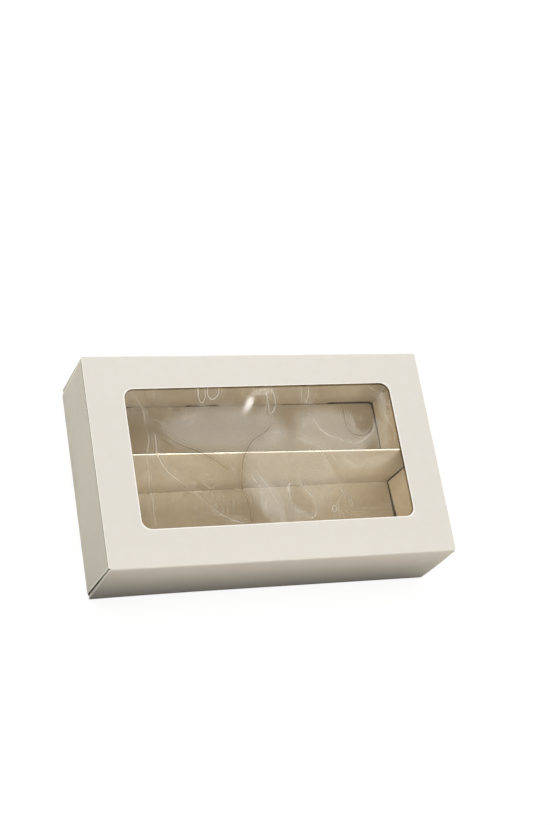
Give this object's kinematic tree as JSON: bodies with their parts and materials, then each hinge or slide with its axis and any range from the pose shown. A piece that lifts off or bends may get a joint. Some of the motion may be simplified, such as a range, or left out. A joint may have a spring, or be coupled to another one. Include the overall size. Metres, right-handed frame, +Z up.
{
  "type": "windowed macaron box",
  "caption": "Flat folded card box with a rounded window in its top, hinged tuck-in ends and a tray inside, ridged along the middle to keep rows of small cakes apart.",
  "frame": {"origin": "on the surface the box stands on, under the middle of the box", "axes": "+X along the box, +Y to its back, +Z up through the window"},
  "size_m": [0.2, 0.121, 0.047],
  "materials": {
    "white_card": "smooth uncoated white folding board",
    "clear_film": "glossy clear film, slightly wavy",
    "tray_card": "uncoated white board that looks warm in the shade of the box"
  },
  "bodies": {
    "box": {"carton": "white_card", "window_film": "clear_film", "tray": "tray_card"},
    "left_end": {"end_panel_left": "white_card"},
    "right_end": {"end_panel_right": "white_card"}
  },
  "joints": [
    {"name": "left_end_hinge", "type": "hinge", "parent": "box", "child": "left_end", "pos_m": [-0.0995, 0, 0.0005], "axis": [0, -1, 0], "range_deg": [0, 90]},
    {"name": "right_end_hinge", "type": "hinge", "parent": "box", "child": "right_end", "pos_m": [0.0995, 0, 0.0005], "axis": [0, 1, 0], "range_deg": [0, 90]}
  ]
}
